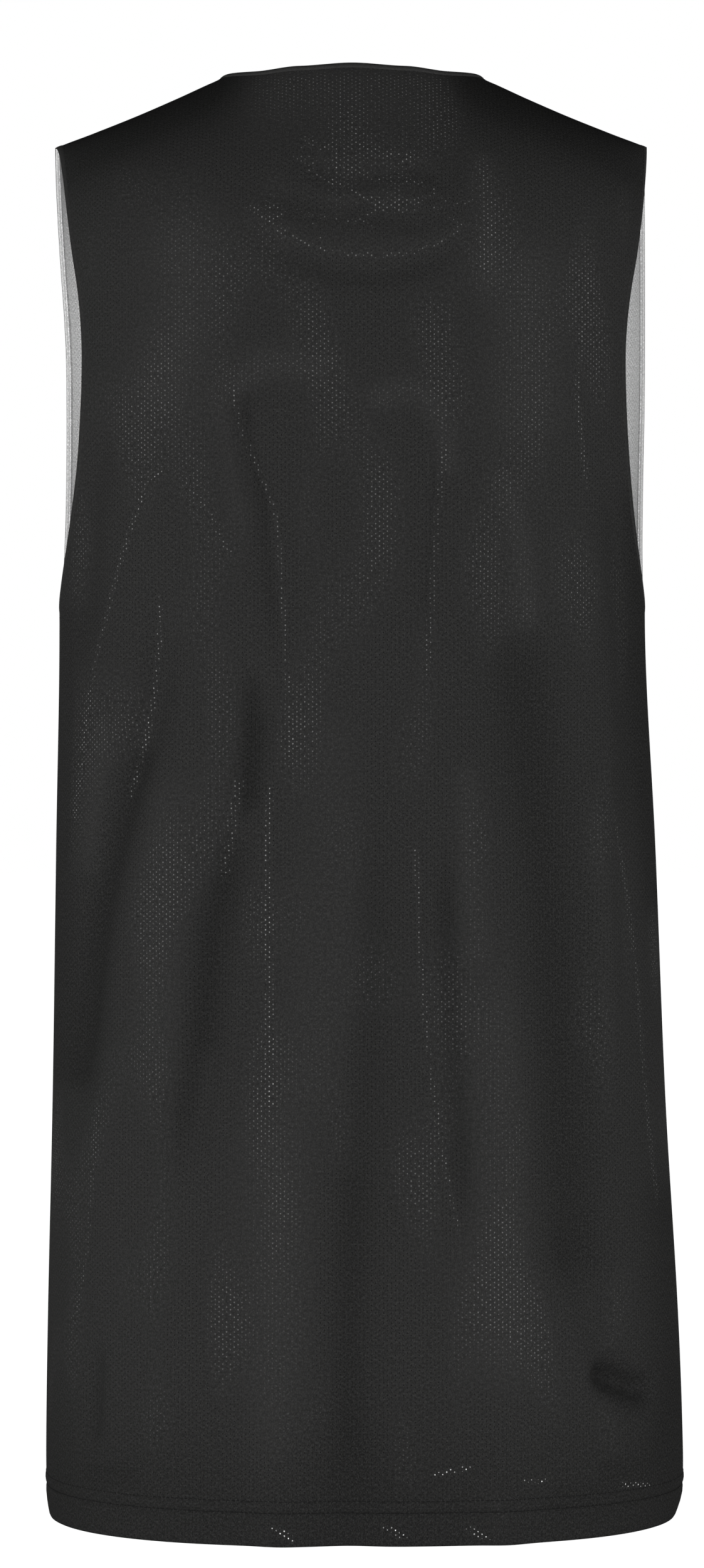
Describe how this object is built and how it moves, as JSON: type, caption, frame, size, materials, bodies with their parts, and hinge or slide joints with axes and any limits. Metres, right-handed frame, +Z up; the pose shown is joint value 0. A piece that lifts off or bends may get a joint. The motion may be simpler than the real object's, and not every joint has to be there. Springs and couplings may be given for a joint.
{
  "type": "reversible basketball jersey",
  "caption": "Sleeveless mesh basketball jersey of two loose layers, black outside and white inside, filled out as worn, with turned neck and armhole edges and a hem on each layer.",
  "frame": {"origin": "midway between the wearer's shoulders, at the height where the straps bear on them", "axes": "+Z up, from the hem to the shoulders; -Y out of the front; +X towards the wearer's left"},
  "size_m": [0.3745, 0.2998, 0.8443],
  "materials": {
    "black_mesh": "matt polyester mesh with small staggered holes",
    "white_mesh": "matt polyester mesh with small staggered holes"
  },
  "bodies": {
    "root": {"outer_back": "black_mesh", "outer_front": "black_mesh", "inner_back": "white_mesh", "inner_front": "white_mesh", "neck_edge": "black_mesh", "armhole_edge_left": "black_mesh", "armhole_edge_right": "black_mesh", "outer_hem": "black_mesh", "inner_hem": "white_mesh"}
  },
  "joints": []
}
